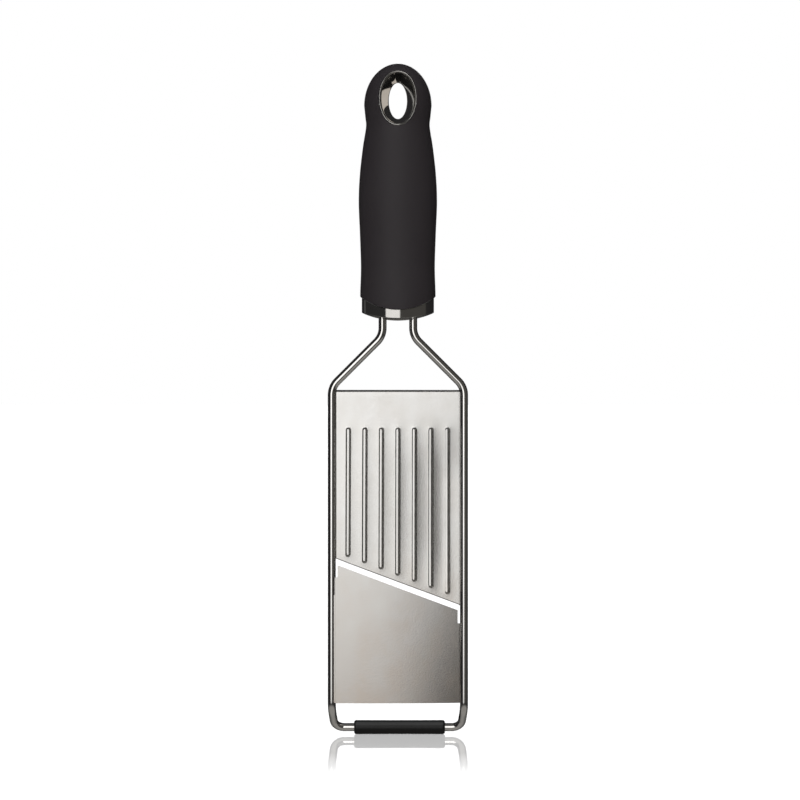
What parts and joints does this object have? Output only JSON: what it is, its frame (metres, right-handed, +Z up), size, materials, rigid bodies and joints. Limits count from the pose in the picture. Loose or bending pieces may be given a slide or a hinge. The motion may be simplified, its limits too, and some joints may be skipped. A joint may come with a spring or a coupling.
{
  "type": "hand-held mandoline slicer",
  "caption": "Hand-held mandoline slicer: bent wire frame with a ribbed ramp, a slanted blade plate, a rubber-sleeved foot and a soft-grip handle with a hanging hole.",
  "frame": {"origin": "middle of the hanging hole in the handle", "axes": "+Z up along the handle, away from the foot; the slicing face looks along -Y; +X to the right seen from the slicing face"},
  "size_m": [0.0676, 0.029, 0.3252],
  "materials": {
    "polished_wire": "polished stainless steel, a little satin at the foot's bends",
    "sheet_steel": "fine satin stainless sheet, warm light grey",
    "sleeve_rubber": "matt black rubber",
    "grip_rubber": "soft-touch black, very fine matt grain",
    "core_plastic": "hard black moulding, hidden inside the grip",
    "anchor_steel": "plain stamped steel, hidden inside the handle",
    "bright_trim": "mirror-bright plated trim, a little darker than the wire"
  },
  "bodies": {
    "root": {"wire_frame": "polished_wire", "ramp_plate": "sheet_steel", "blade_plate": "sheet_steel", "foot_sleeve": "sleeve_rubber", "soft_grip": "grip_rubber", "core_front_shell": "core_plastic", "core_back_shell": "core_plastic", "anchor_plate": "anchor_steel", "collar": "bright_trim", "neck_plug": "bright_trim", "hang_ring_front": "bright_trim", "hang_ring_back": "bright_trim"}
  },
  "joints": []
}
